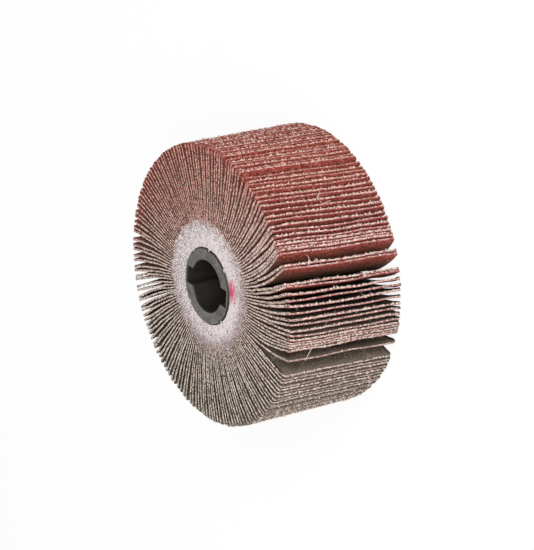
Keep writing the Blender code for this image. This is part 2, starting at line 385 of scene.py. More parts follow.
def dusted(add, place, tones, clean, amount=1.0):
    """Colour socket of cloth that an amount of grinding dust has settled on.

    Toward +Y the dust is red and toward -Y it is pale grey. Both are faint where they
    overlap. The eye sees the upper flaps warmer than the lower ones.
    """
    split = add("SeparateXYZ", (place,)).node.outputs
    toward = add("Math", (split["X"], -0.5, split["Y"]), operation="MULTIPLY_ADD")
    red = add("MapRange", (toward, 5.0 * MM, 40.0 * MM, 0.0, 0.65 * amount))
    grey = add("MapRange", (split["Y"], 20.0 * MM, -30.0 * MM, 0.0, 0.65 * amount))
    for share, shade in ((red, tones.grain_light), (grey, tones.dust)):
        layers = {0: share, 6: clean, 7: shade}
        clean = add("Mix", layers, 2, data_type="RGBA", blend_type="COLOR")
    return clean


def grain_finish(tones, sizes):
    """Fused alumina grain, coated by electrostatic field into red resin bond.

    Grit 80 has grains of 0.2 mm. They are drawn at 0.5 mm, or they wouldn't show. The eye
    sees a matt red-brown field with dark pits and a few pale points. Deeper in from the tip
    the grain turns from red to dull brown.
    """
    material, add, shader, place = new_material("Fused alumina grain in red bond")
    chance, distance = cells(add, place, 0.5 * MM)
    worn = add("TexNoise", {"Vector": place, "Scale": 1 / (1.0 * MM), "Detail": 3.0})
    patch = add("TexNoise", {"Vector": place, "Scale": 1 / (5.0 * MM), "Detail": 4.0})
    tone = -0.075
    for part, share in ((patch, 0.25), (worn, 0.55), (chance, 0.35)):
        tone = add("Math", (part, share, tone), operation="MULTIPLY_ADD")
    stops = (
        (0.36, tones.grain_dark),
        (0.46, tones.grain),
        (0.62, tones.grain),
        (0.72, tones.grain_light),
    )
    clean = add("ValToRGB", (tone,), stops=stops)
    # Deeper in from the tip the grain is mixed toward dull brown.
    depth = add("Math", (patch, 6.0 * MM, radius_of(add, place)), operation="MULTIPLY_ADD")
    deep_span = (sizes.wheel_radius - 7.0 * MM, sizes.wheel_radius + 1.5 * MM)
    deep_share = add("MapRange", (depth, *deep_span, 0.85, 0.0))
    coat = add("Mix", {0: deep_share, 6: clean, 7: tones.grain_deep}, 2, data_type="RGBA")
    # Painted shade darkens the grain near the side edges, in the gaps between flaps.
    layers = {0: 1.0, 6: coat, 7: painted_gap_shade(add, place, sizes, 0.46)}
    coat = add("Mix", layers, 2, data_type="RGBA", blend_type="MULTIPLY")
    height_from = add("Math", (1.0, distance), operation="SUBTRACT")
    dress(add, shader, coat, height_from, 0.12 * MM, 0.55, 0.75, 0.25)
    return material


def backing_finish(tones, sizes):
    """Cotton drill filled with glue.

    The filling hides the weave but for faint ribs across the flap, drawn 1.4 mm apart, twice
    their real distance, or they wouldn't show. The eye sees a dry grey-olive cloth, finely
    mottled, with pale specks where fibres stand out. Toward the tip it is painted paler, as
    painted light for the light that reaches into the gaps between flaps.
    """
    material, add, shader, place = new_material("Filled cotton drill backing")
    across = add("UVMap", uv_map="Cloth")
    waves = TURN / WAVE_NODE_SCALE / (1.4 * MM)
    woven = {"Vector": across, "Scale": waves, "Distortion": 6.0, "Detail": 3.0}
    ribs = add("TexWave", woven, "Fac")
    fine = add("TexNoise", {"Vector": place, "Scale": 1 / (0.4 * MM), "Detail": 3.0})
    wide = add("TexNoise", {"Vector": place, "Scale": 1 / (6.0 * MM), "Detail": 3.0})
    blend = add("Math", (wide, 0.3, fine), operation="MULTIPLY_ADD")
    blend = add("Math", (ribs, 0.04, blend), operation="MULTIPLY_ADD")
    stops = (
        (0.50, tones.backing_dark),
        (0.64, tones.backing),
        (0.74, tones.backing),
        (0.86, tones.cut),
    )
    fresh = add("ValToRGB", (blend,), stops=stops)
    # Painted light: the backing is mixed toward a paler colour over the outer five millimetres, for light
    # reaching the gaps between flaps.
    outermost = (sizes.wheel_radius - 5.0 * MM, sizes.wheel_radius)
    wear_and_painted_light = add("MapRange", (radius_of(add, place), *outermost, 0.0, 0.6))
    cloth = add("Mix", {0: wear_and_painted_light, 6: fresh, 7: tones.backing_painted_light}, 2, data_type="RGBA")
    cloth = dusted(add, place, tones, cloth, 0.3)
    # Painted shade darkens the backing near the side edges, in the gaps between flaps.
    layers = {0: 1.0, 6: cloth, 7: painted_gap_shade(add, place, sizes, 0.18)}
    cloth = add("Mix", layers, 2, data_type="RGBA", blend_type="MULTIPLY")
    dress(add, shader, cloth, blend, 0.12 * MM, 0.5, 0.9, 0.15)
    return material


def edge_finish(name, tones, pale, share, line):
    """Cut edge of coated cloth: a thin line of red bond beside the pale ends of the threads.

    Thread ends lie about 0.5 mm apart along the edge. The eye sees a beaded line, pale
    on the thread ends, dark in the glue between them, and redder where bond is drawn over.
    """
    material, add, shader, place = new_material(name)
    across = add("UVMap", uv_map="Cloth")
    from_grain = add("SeparateXYZ", (across,), "Y")
    beads = add("TexNoise", {"Vector": place, "Scale": 1 / (0.5 * MM), "Detail": 2.0})
    drift = add("TexNoise", {"Vector": place, "Scale": 1 / (2.2 * MM), "Detail": 2.0})
    stops = ((0.41, tones.cut_dark), (0.50, pale), (0.62, tones.fluff))
    threads = add("ValToRGB", (beads,), stops=stops)
    drawn = add("MapRange", (drift, 0.62 - share * 0.3, 0.74 - share * 0.3, 0.0, 0.6))
    bond = add("MapRange", (from_grain, line * 0.6, line * 1.2, 0.9, 0.0))
    red = add("Math", (drawn, bond), operation="MAXIMUM")
    edge = add("Mix", {0: red, 6: threads, 7: tones.burr}, 2, data_type="RGBA")
    dress(add, shader, dusted(add, place, tones, edge), beads, 0.25 * MM, 0.8, 0.85, 0.2)
    return material


def fluff_finish(tones):
    """Raw cotton fibre. The eye sees fine cream hairs, duller at places and faintly dusty."""
    material, add, shader, place = new_material("Loose cotton fibre")
    share = add("TexNoise", {"Vector": place, "Scale": 1 / (1.5 * MM), "Detail": 2.0})
    clean = add("Mix", {0: share, 6: tones.cut, 7: tones.fluff}, 2, data_type="RGBA")
    dust_and_shade = dusted(add, place, tones, clean, 0.4)
    connect(shader, {"Base Color": dust_and_shade, "Roughness": 0.8, "Sheen Weight": 0.3})
    return material


def dabbed(add, place, flaps):
    """How thickly a worn dab of marking paint covers the resin beside the bush.

    Its middle lies on the front face, and a noise wears its outline and breaks it up.
    """
    dab = {
        "Vector": place,
        "Location": (15.1 * MM, 4.2 * MM, flaps.rear_face + flaps.wheel_width),
        "Rotation": (0.0, 0.0, math.radians(6.0)),
        "Scale": (3.7 * MM, 5.0 * MM, 3.0 * MM),
    }
    turned = add("Mapping", dab, vector_type="TEXTURE")
    far = add("VectorMath", (turned,), "Value", operation="LENGTH")
    streaks = add("Mapping", {"Vector": place, "Scale": (1.6, 0.5, 1.0)})
    worn = add("TexNoise", {"Vector": streaks, "Scale": 1 / (1.2 * MM), "Detail": 4.0})
    worn = add("Math", (worn, 2.0, far), operation="MULTIPLY_ADD")
    return add("MapRange", (worn, 1.35, 2.1, 0.95, 0.0))


def resin_finish(tones, flaps):
    """Cast epoxy, poured white and skimmed off.

    It is clean next to the bush. Farther out it is mottled and peppered with dusty specks,
    mostly short dashes along the radius, where the ends of the cloth come through. Specks
    are drawn at 0.4 mm, twice their real size, or they wouldn't show.
    """
    material, add, shader, place = new_material("Cast epoxy resin")
    split = add("SeparateXYZ", (place,)).node.outputs
    x, y = split["X"], split["Y"]
    radius = radius_of(add, place)
    bearing = add("Math", (y, x), operation="ARCTAN2")
    along_ring = add("Math", (bearing, flaps.resin_radius), operation="MULTIPLY")
    drawn_out = add("Math", (radius, 0.45), operation="MULTIPLY")
    unrolled = add("CombineXYZ", (along_ring, drawn_out))

    ring = (flaps.root_radius - 3.4 * MM, flaps.resin_radius - 0.6 * MM)
    outward = add("MapRange", (radius, *ring, 0.0, 1.0))
    stripe = add("Math", (bearing, float(flaps.count)), operation="MULTIPLY")
    stripe = add("Math", (stripe,), operation="COSINE")
    large = add("TexNoise", {"Vector": place, "Scale": 1 / (3.0 * MM), "Detail": 3.0})
    small = add("TexNoise", {"Vector": place, "Scale": 1 / (0.45 * MM), "Detail": 3.0})
    clouds = add("Math", (large, 0.6, small), operation="MULTIPLY_ADD")
    toward = add("Math", (x, -0.8, y), operation="MULTIPLY_ADD")
    soaking = add("MapRange", (toward, 22.0 * MM, -22.0 * MM, 0.25, 0.7))
    soaked = add("Math", (outward, soaking, clouds), operation="MULTIPLY_ADD")
    striped = add("Math", (outward, 0.10), operation="MULTIPLY")
    soaked = add("Math", (stripe, striped, soaked), operation="MULTIPLY_ADD")
    stain = add("MapRange", (soaked, 0.95, 1.4, 0.0, 1.0))
    layers = {0: stain, 6: tones.resin, 7: tones.resin_stain}
    body = add("Mix", layers, 2, data_type="RGBA")

    lopsided = add("Math", (y, 0.3, x), operation="MULTIPLY_ADD")
    lopsided = add("MapRange", (lopsided, -20.0 * MM, 12.0 * MM, 0.75, 0.0))
    patchy = add("TexNoise", {"Vector": place, "Scale": 1 / (2.4 * MM), "Detail": 2.0})
    patchy = add("Math", (patchy, 0.7, outward), operation="MULTIPLY_ADD")
    patchy = add("Math", (patchy, lopsided), operation="ADD")
    pit_chance, pit_distance = cells(add, place, 0.9 * MM)
    pit_size = add("MapRange", (pit_chance, 0.80, 1.0, 0.0, 0.36))
    dust_and_shade = add("Math", (pit_distance, pit_size), operation="LESS_THAN")
    specks = (
        (unrolled, 0.40 * MM, 0.06, 0.85, 0.40),
        (place, 0.45 * MM, 0.12, 0.50, 0.46),
    )
    for spread, size, fewest, most, reach in specks:
        chance, distance = cells(add, spread, size)
        share = add("MapRange", (patchy, 0.35, 1.45, fewest, most))
        chosen = add("Math", (chance, share), operation="LESS_THAN")
        within = add("Math", (distance, reach), operation="LESS_THAN")
        speck = add("Math", (chosen, within), operation="MULTIPLY")
        dust_and_shade = add("Math", (speck, dust_and_shade), operation="MAXIMUM")
    share = add("Math", (dust_and_shade, 0.85), operation="MULTIPLY")
    speckled = add("Mix", {0: share, 6: body, 7: tones.pit}, 2, data_type="RGBA")
    layers = {0: dabbed(add, place, flaps), 6: speckled, 7: tones.dab}
    painted = add("Mix", layers, 2, data_type="RGBA")
    sunk = add("Math", (dust_and_shade, -0.8, clouds), operation="MULTIPLY_ADD")
    dress(add, shader, painted, sunk, 0.2 * MM, 0.4, 0.55, 0.35)
    return material


def plastic_finish(tones, name, wear_and_painted_light):
    """Glass-filled nylon, injection moulded.

    As moulded it is nearly black with a satin skin. Where it has been rubbed, the glass
    fibres show and turn it grey in fine streaks.
    """
    material, add, shader, place = new_material(name)
    fibres = add("TexNoise", {"Vector": place, "Scale": 1 / (0.8 * MM), "Detail": 5.0})
    clouds = add("TexNoise", {"Vector": place, "Scale": 1 / (4.5 * MM), "Detail": 2.0})
    amount = add("Math", (fibres, clouds), operation="ADD")
    share = add("MapRange", (amount, 0.75, 1.25, wear_and_painted_light * 0.4, wear_and_painted_light * 0.95))
    layers = {0: share, 6: tones.plastic, 7: tones.scuff}
    skin = add("Mix", layers, 2, data_type="RGBA")
    dress(add, shader, skin, fibres, 0.05 * MM, 0.25, 0.42 + 0.25 * wear_and_painted_light, 0.5)
    return material


def floor_finish():
    """Seamless white paper. To the camera it is nearly white, and it keeps the shadow."""
    material, add, shader, _ = new_material("White background paper")
    connect(shader, {"Base Color": PAPER, "Roughness": 0.9, "Specular IOR Level": 0.0})
    rays = add("LightPath").node.outputs
    glow = add("Emission", {"Color": WHITE, "Strength": 1.05})
    seen = add("Math", (rays["Is Camera Ray"], rays["Is Glossy Ray"]), operation="MAXIMUM")
    share = add("Math", (seen, 0.85), operation="MULTIPLY")
    mixed = add("MixShader", (share, shader.outputs[0], glow))
    connect(material.node_tree.nodes["Material Output"], {"Surface": mixed})
    return material


def make_piece(name, points, faces, materials, patches=None, texture=None):
    """A mesh object from whole arrays, with a material for each face and a UV for each corner."""
    mesh = bpy.data.meshes.new(name)
    mesh.from_pydata(points, [], faces)
    for material in materials:
        mesh.materials.append(material)
    if patches is not None:
        mesh.polygons.foreach_set("material_index", patches.astype(np.int32))
    if texture is not None:
        layer = mesh.uv_layers.new(name="Cloth")
        layer.data.foreach_set("uv", texture.astype(np.float32).ravel())
    mesh.polygons.foreach_set("use_smooth", np.ones(len(mesh.polygons), bool))
    mesh.update()
    mesh.set_sharp_from_angle(angle=SHARP_EDGE)
    piece = bpy.data.objects.new(name, mesh)
    bpy.context.scene.collection.objects.link(piece)
    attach(piece, "root")
    return piece


def quads_of(grid, flip):
    """Quads of a grid of vertex numbers, wound along its first axis and then its second."""
    around = (grid[:-1, :-1], grid[1:, :-1], grid[1:, 1:], grid[:-1, 1:])
    quads = np.stack([corner.ravel() for corner in around], axis=1)
    return quads[:, ::-1] if flip else quads


def ripple(rng, places, spacing, parts=4):
    """Smooth wandering along a line, between about -1 and 1.

    A sum of sines whose wavelengths lie round the spacing, each with its own phase.
    """
    waves = spacing * rng.uniform(0.6, 1.9, parts)
    phases = rng.uniform(0.0, TURN, parts)
    return np.sin(np.asarray(places)[..., None] * TURN / waves + phases).sum(-1) / math.sqrt(parts)


def ripple_flat(rng, x, y, spacing, parts=7):
    """Smooth bumps over a plane: a sum of sines along random directions, about -1 to 1."""
    ways = rng.uniform(0.0, TURN, parts)
    waves = spacing * rng.uniform(0.6, 1.7, parts)
    phases = rng.uniform(0.0, TURN, parts)
    along = x[..., None] * np.cos(ways) + y[..., None] * np.sin(ways)
    return np.sin(along * TURN / waves + phases).sum(-1) / math.sqrt(parts)


def turn_between(direction, angles):
    """Turn from a direction to each angle, between minus and plus half a turn."""
    return (angles - direction + math.pi) % TURN - math.pi


def flap_angles(sizes):
    """Root and tip angles of all flaps on the front face, and the spacing of their tips.

    They lie nearly as in the construction. Tip = root + lean + scatter
    + sway * cos(root - sway direction), and every parting pushes it away by half its opening
    times exp(-distance / reach). Changes of the lean and pairs of tips, which the
    construction lacks, fade as exp(-(distance / reach)^2). The spacing is then shared out so
    that no two tips come nearer than the least space.
    """
    numbers = np.arange(sizes.count)
    roots = (numbers + 0.5) * TURN / sizes.count
    golden = (math.sqrt(5) - 1) / 2
    tips = roots + sizes.lean + sizes.sway * np.cos(roots - sizes.sway_direction)
    tips += sizes.scatter * (numbers * golden % 1 - 0.5)
    directions, openings = np.radians(PARTINGS.T)
    away = turn_between(directions, roots[:, None])
    tips += (np.sign(away) * openings / 2 * np.exp(-abs(away) / sizes.parting_reach)).sum(1)
    directions, changes, reaches = np.radians(LEANS.T)
    away = turn_between(directions, roots[:, None])
    tips += (changes * np.exp(-(away / reaches) ** 2)).sum(1)
    away = turn_between(sizes.pair_direction, roots)
    tips += sizes.pairing * np.exp(-(away / PAIR_REACH) ** 2) * (1 - 2 * (numbers % 2))
    least = (sizes.thickness + sizes.tip_space) / sizes.wheel_radius
    spare = np.maximum(np.diff(np.append(tips, tips[0] + TURN)) - least, 0.0)
    spacing = least + spare * (TURN - sizes.count * least) / spare.sum()
    return roots, tips[0] + np.append(0.0, np.cumsum(spacing)[:-1]), spacing


class FlapLattice:
    """The skin of a lattice of points through one flap, the same for every flap.

    Its first axis runs from root to tip, the second from the rear to the front face and
    the third through the thickness, from the grain to the cloth backing.
    """

    def __init__(self, sizes):
        buried = (sizes.root_radius - sizes.resin_radius) / (sizes.wheel_radius - sizes.resin_radius)
        self.reach = np.concatenate(((buried,), FREE_SHARES))
        ends = np.array(END_STEPS) * MM
        middle = np.linspace(MIDDLE_MARGIN, sizes.wheel_width - MIDDLE_MARGIN, MIDDLE_STEPS)
        self.height = np.concatenate((ends, middle, sizes.wheel_width - ends[::-1]))
        self.depth = np.array((0.0, sizes.bond / sizes.thickness, 1.0))
        shape = (len(self.reach), len(self.height), len(self.depth))
        skin = np.ones(shape, bool)
        skin[1:-1, 1:-1, 1:-1] = False
        self.skin = skin
        number = np.full(shape, -1)
        number[skin] = np.arange(skin.sum())
        radial = self.reach * (sizes.wheel_radius - sizes.resin_radius)
        through = self.depth * sizes.thickness
        sides = (
            (number[:, :, 0], False, 0, radial, self.height),
            (number[:, :, -1], True, 1, radial, self.height),
            (number[:, -1, :], False, 2, radial, through),
            (number[:, 0, :], True, 2, radial, through),
            (number[-1, :, :], True, 3, self.height, through),
            (number[0, :, :], False, 2, self.height, through),
        )
        quads, patches, textures = [], [], []
        for grid, flip, patch, first, second in sides:
            local = quads_of(np.arange(grid.size).reshape(grid.shape), flip)
            quads.append(grid.ravel()[local])
            patches.append(np.full(len(local), patch))
            places = np.stack(np.meshgrid(first, second, indexing="ij"), axis=-1).reshape(-1, 2)
            textures.append(places[local].reshape(-1, 2))
        self.quads = np.concatenate(quads)
        self.patches = np.concatenate(patches)
        self.textures = np.concatenate(textures)


def worn_corner(height, rear_corner, front_corner, sizes):
    """How much shorter a flap is near its corners: a quarter circle at each end of its tip."""
    short = np.zeros(height.shape)
    for edge, corner in ((height, rear_corner), (sizes.wheel_width - height, front_corner)):
        into = np.clip(corner - edge, 0.0, corner)
        short += corner - np.sqrt((corner - into) * (corner + into))
    return short


def flap_wear(rng, lattice, sizes, root, spacing, frayed):
    """How one flap strays from its plain form over the lattice, in metres.

    Returns the shift of the middle surface over reach and height, how much shorter the tip
    is over height and depth, how far the tip splays over height, and how far the side edges
    splay to either side over reach and height, most so round the splay direction. The whole
    fan waves gently with direction and height, so neighbours move together. On top of that
    a flap strays into the gaps beside it, its corners curl, its side edges are kinked, and
    its tip is jagged, more so where it is frayed.
    """
    height = lattice.height
    reach = np.clip(lattice.reach, 0.0, 1.0)[:, None]
    bent = reach ** sizes.bend_power
    radius = sizes.resin_radius + (sizes.wheel_radius - sizes.resin_radius) * reach
    pitch = TURN / sizes.count
    behind, ahead = [radius * (pitch + (space - pitch) * bent) - sizes.thickness for space in spacing]
    behind, ahead = np.clip(behind, *GAP_LIMITS), np.clip(ahead, *GAP_LIMITS)

    shared = sum(
        size * np.sin(TURN * height / wave + turns * root + start)
        for size, wave, turns, start in SHARED_WAVES
    )
    own = ripple(rng, height, OWN_WAVE) * OWN_SHARE
    slack = rng.uniform(-1.0, 1.0) * sizes.wander
    slack = slack + 0.5 * sizes.wander * ripple(rng, height, SLACK_WAVE, 2)
    bulge = np.clip(reach * 2.2, 0.0, 1.0) * np.clip((1.0 - reach) * 2.2, 0.0, 1.0)
    stray = own[None, :] * reach + np.clip(slack, -sizes.wander, sizes.wander)[None, :] * bulge
    from_front = (height - sizes.wheel_width) / FRONT_CURL_REACH
    curl = FRONT_CURL * np.exp(from_front) * rng.uniform(-0.2, 1.2)
    curl -= REAR_CURL * np.exp(-height / REAR_CURL_REACH) * rng.uniform(-0.4, 1.2)
    shift = (shared + curl)[None, :] * bent + np.where(stray > 0, stray * ahead, stray * behind)
    for edge in (height, sizes.wheel_width - height):
        kinks = rng.normal(0.0, KINK, (len(lattice.reach), 1)) * (lattice.reach[:, None] > 0.01)
        shift = shift + kinks * np.exp(-edge / KINK_REACH)[None, :]

    jag = FRAYED_JAG if frayed else BONDED_JAG
    jag = jag * rng.normal(size=(len(height), len(lattice.depth)))
    worn = (0.5 + 0.5 * math.cos(root - sizes.worn_direction)) * rng.uniform(0.4, 1.0, 2)
    corners = sizes.least_corner + (sizes.most_corner - sizes.least_corner) * worn
    short = worn_corner(height, *corners, sizes)[:, None]
    short = short + TIP_UNEVEN * rng.uniform(0.0, 1.0) + abs(jag)
    flare = (FRAYED_FLARE if frayed else BONDED_FLARE) * rng.uniform(0.0, 1.0, len(height))
    at_sides = np.exp(-np.minimum(height, sizes.wheel_width - height) / SPLAY_DEPTH)[None, :]
    away = turn_between(sizes.splay_direction, root)
    least, most = SPLAY_SHARES
    splayed = least + (most - least) * math.exp(-(away / SPLAY_REACH) ** 2)
    splay = [splayed * gap * at_sides * np.clip(2 * reach, 0.0, 1.0) for gap in (behind, ahead)]
    return shift, short, flare, splay


def flap_points(rng, lattice, sizes, root, tip, spacing, frayed):
    """Points of one flap over its whole lattice.

    Root and tip both wind back with the distance from the front face. The middle surface
    is at the angle root + (tip - root) * reach ^ bend, and each side lies half a thickness
    from it along the circle.
    """
    shift, short, flare, splay = flap_wear(rng, lattice, sizes, root, spacing, frayed)
    height = lattice.height
    free = sizes.wheel_radius - short - sizes.resin_radius
    reach = lattice.reach[:, None, None]
    radius = sizes.resin_radius + reach * free[None, :, :]
    bent = np.clip(reach, 0.0, 1.0) ** sizes.bend_power
    back = 1 - height / sizes.wheel_width
    wound_root = (root - sizes.root_winding * back)[None, :, None]
    wound_tip = (tip - sizes.tip_winding * back)[None, :, None]
    middle = wound_root + (wound_tip - wound_root) * bent + shift[:, :, None] / radius
    room = 0.97 * TURN / sizes.count * radius
    through = np.minimum(sizes.thickness, room) * (lattice.depth - 0.5)
    fray = np.clip((reach - 1.0 + FLARED_SHARE) / FLARED_SHARE, 0.0, 1.0) ** 2 * flare[None, :, None]
    through = through + fray * np.array((-0.3, 0.2, 1.0))
    through = through - splay[0][:, :, None] * (1, 0.6, 0) + splay[1][:, :, None] * (0, 0, 1)
    turned = middle + through / radius
    level = np.broadcast_to(height[None, :, None], radius.shape).copy()
    ragged = abs(rng.normal(size=(len(lattice.reach), len(lattice.depth)))) * SIDE_RAGGED
    level[:, -1, :] -= ragged
    level[:, 0, :] += ragged
    return polar_points(radius, turned, level + sizes.rear_face)


def look_up(grid, rows, row_places, columns, column_places):
    """Points between those of a grid, mixed linearly along both of its axes."""
    row = np.clip(np.searchsorted(rows, row_places) - 1, 0, len(rows) - 2)
    column = np.clip(np.searchsorted(columns, column_places) - 1, 0, len(columns) - 2)
    down = ((row_places - rows[row]) / (rows[row + 1] - rows[row]))[:, None]
    over = ((column_places - columns[column]) / (columns[column + 1] - columns[column]))[:, None]
    upper = grid[row, column] * (1 - over) + grid[row, column + 1] * over
    lower = grid[row + 1, column] * (1 - over) + grid[row + 1, column + 1] * over
    return upper * (1 - down) + lower * down


def hairs(starts, ways, lengths, curls, thickness, steps, end_share=0.33):
    """Tapered hairs with three sides, as points and triangles.

    A hair's middle is start + length * (s * way + s^2 * curl) for s from 0 to 1, in even
    steps. Round it stands a triangle, which shrinks to a share of its size at the end.
    """
    along = np.linspace(0.0, 1.0, steps + 1)
    middle = starts[:, None, :] + lengths[:, None, None] * (
        along[None, :, None] * ways[:, None, :] + (along ** 2)[None, :, None] * curls[:, None, :]
    )
    tangent = ways + curls
    side = np.cross(tangent, np.roll(tangent, 1, axis=1))
    side /= np.linalg.norm(side, axis=1, keepdims=True)
    other = np.cross(tangent, side)
    other /= np.linalg.norm(other, axis=1, keepdims=True)
    corner = np.array((0.0, 1.0, 2.0)) * TURN / 3
    ring = side[:, None, :] * np.cos(corner)[:, None] + other[:, None, :] * np.sin(corner)[:, None]
    taper = thickness / 2 * (1 - (1 - end_share) * along)
    points = middle[:, :, None, :] + ring[:, None, :, :] * taper[None, :, None, None]
    first = np.arange((steps + 1) * 3).reshape(steps + 1, 3)
    loop = np.concatenate((first, first[:, :1]), axis=1)
    quads = quads_of(loop, True)
    walls = np.concatenate((quads[:, (0, 1, 2)], quads[:, (0, 2, 3)]))
    caps = np.array((first[0, ::-1], first[-1]))
    one = np.concatenate((walls, caps))
    triangles = one[None, :, :] + (np.arange(len(starts)) * first.size)[:, None, None]
    return points.reshape(-1, 3), triangles.reshape(-1, 3)


def joined(parts):
    """Points and faces of several meshes as one."""
    points, faces, count = [], [], 0
    for some_points, some_faces in parts:
        points.append(some_points)
        faces.append(some_faces + count)
        count += len(some_points)
    return np.concatenate(points), np.concatenate(faces)


def polar_points(radius, turned, level):
    """Points from radius, angle and height."""
    return np.stack((radius * np.cos(turned), radius * np.sin(turned), level), axis=-1)


def polar_ways(turned, outward, sideways, upward):
    """Directions from their outward, sideways and upward shares at an angle, of length one."""
    ways = np.stack(
        (
            outward * np.cos(turned) - sideways * np.sin(turned),
            outward * np.sin(turned) + sideways * np.cos(turned),
            upward,
        ),
        axis=-1,
    )
    return ways / np.linalg.norm(ways, axis=1, keepdims=True)


def rooted(edge, rows, places, columns, depths, shares, sunk):
    """Where hairs start on an edge, a little inside it, and the ways they go from there."""
    starts = look_up(edge, rows, places, columns, depths)
    ways = polar_ways(np.arctan2(starts[:, 1], starts[:, 0]), *shares)
    return starts - ways * sunk, ways


def tip_yarns(rng, lattice, sizes, points, frayed):
    """Stubs of yarn along the tip edge of one flap, where the cut drill has come apart.

    They stand in tufts of three, about 1.5 mm apart on a frayed tip, and lean to the cloth side.
    """
    tufts = FRAYED_TUFTS if frayed else BONDED_TUFTS
    margin = 1.2 * MM
    middles = (np.arange(tufts) + rng.uniform(0.0, 1.0, tufts)) * (sizes.wheel_width - 2 * margin) / tufts
    levels = np.repeat(middles + margin, 3) + rng.normal(0.0, 0.25 * MM, tufts * 3)
    count = len(levels)
    depths = rng.uniform(0.3, 1.0, count)
    shares = (rng.uniform(0.15, 0.75, count), rng.normal(0.45, 0.4, count), rng.normal(0.0, 0.35, count))
    starts, ways = rooted(points[-1], lattice.height, levels, lattice.depth, depths, shares, 0.2 * MM)
    spread = np.repeat(rng.uniform(0.7, 1.5, tufts), 3) * rng.uniform(0.7, 1.2, count)
    lengths = 0.5 * MM * spread * (1.0 if frayed else 0.7)
    return hairs(starts, ways, lengths, rng.normal(0.0, 0.25, starts.shape), YARN, 1, 0.65)


def tip_fibres(rng, lattice, sizes, points, frayed):
    """Single cotton fibres that stand out of the tip edge of one flap."""
    count = FRAYED_FIBRES if frayed else BONDED_FIBRES
    levels = rng.uniform(0.5 * MM, sizes.wheel_width - 0.5 * MM, count)
    depths = rng.uniform(0.2, 1.0, count)
    shares = (rng.uniform(0.0, 0.5, count), rng.normal(0.2, 0.5, count), rng.normal(0.0, 0.8, count))
    starts, ways = rooted(points[-1], lattice.height, levels, lattice.depth, depths, shares, 0.1 * MM)
    lengths = np.clip(rng.gamma(3.0, 0.18, count), 0.2, 1.2) * MM * (1.0 if frayed else 0.8)
    return hairs(starts, ways, lengths, rng.normal(0.0, 0.45, starts.shape), FIBRE, 2)


def side_yarns(rng, lattice, points, front):
    """Short thread ends along the front or the rear edge of one flap."""
    count = THREAD_ENDS
    places = (np.arange(count) + rng.uniform(0.0, 1.0, count)) / count * 0.94 + 0.02
    edge = points[:, -1] if front else points[:, 0]
    depths = rng.uniform(0.2, 0.9, count)
    upward = np.full(count, 1.0 if front else -1.0)
    shares = (rng.normal(0.0, 0.5, count), rng.normal(0.0, 0.2, count), upward)
    starts, ways = rooted(edge, lattice.reach, places, lattice.depth, depths, shares, 0.12 * MM)
    lengths = rng.uniform(0.18, 0.36, count) * MM
    return hairs(starts, ways, lengths, np.zeros(starts.shape), THREAD_END, 1, 0.7)


def profile_ring(name, directions, radius, level, materials, patches):
    """A closed ring from radius and height over direction (first axis) and profile (second)."""
    turns, steps = radius.shape
    points = polar_points(radius, directions[:, None], level).reshape(-1, 3)
    number = np.arange(turns * steps).reshape(turns, steps)
    number = np.concatenate((number, number[:1]), axis=0)
    number = np.concatenate((number, number[:, :1]), axis=1)
    quads = quads_of(number, False)
    patch = np.tile(patches, turns)
    return make_piece(name, points, quads, materials, patches=patch)


def notch_directions(hub):
    """Directions of the outer notches: evenly round the bush, none behind a keyway."""
    directions = np.arange(hub.notch_places) * TURN / hub.notch_places
    return directions[abs(np.sin(directions)) * hub.bush_radius > hub.keyway_width / 2 + hub.notch_width]


def notch_half(hub):
    """Half the angle that an outer notch takes up, at half its depth."""
    return math.asin(hub.notch_width / 2 / (hub.bush_radius - hub.notch_depth / 2))


def hub_directions(hub, count):
    """Directions evenly round the hub, with two close together at each wall of a notch."""
    even = np.arange(count) * TURN / count
    centres = notch_directions(hub)
    half = notch_half(hub)
    walls = np.concatenate((centres - half, centres + half)) % TURN
    return np.unique(np.concatenate((even, walls - WALL_STEP, walls + WALL_STEP)) % TURN)


def notched(directions, radius, hub, slack):
    """Outline with notches: within half a notch's width it falls to a flat floor.

    At an angle d from the middle of a notch, the floor is at floor / cos(d).
    """
    floor = hub.bush_radius - hub.notch_depth + slack
    half = notch_half(hub)
    outline = np.broadcast_to(radius, directions.shape).copy()
    for centre in notch_directions(hub):
        away = abs(turn_between(centre, directions))
        outline = np.where(away < half, np.minimum(outline, floor / np.cos(away)), outline)
    return outline


def keyed(directions, radius, hub, slack):
    """Outline of the bore: the circle, opened by two keyways with parallel walls."""
    bottom = (hub.keyway_reach + slack) / np.maximum(abs(np.cos(directions)), LEAST_SINE)
    walls = (hub.keyway_width / 2 + slack) / np.maximum(abs(np.sin(directions)), LEAST_SINE)
    return np.maximum(radius, np.minimum(bottom, walls))


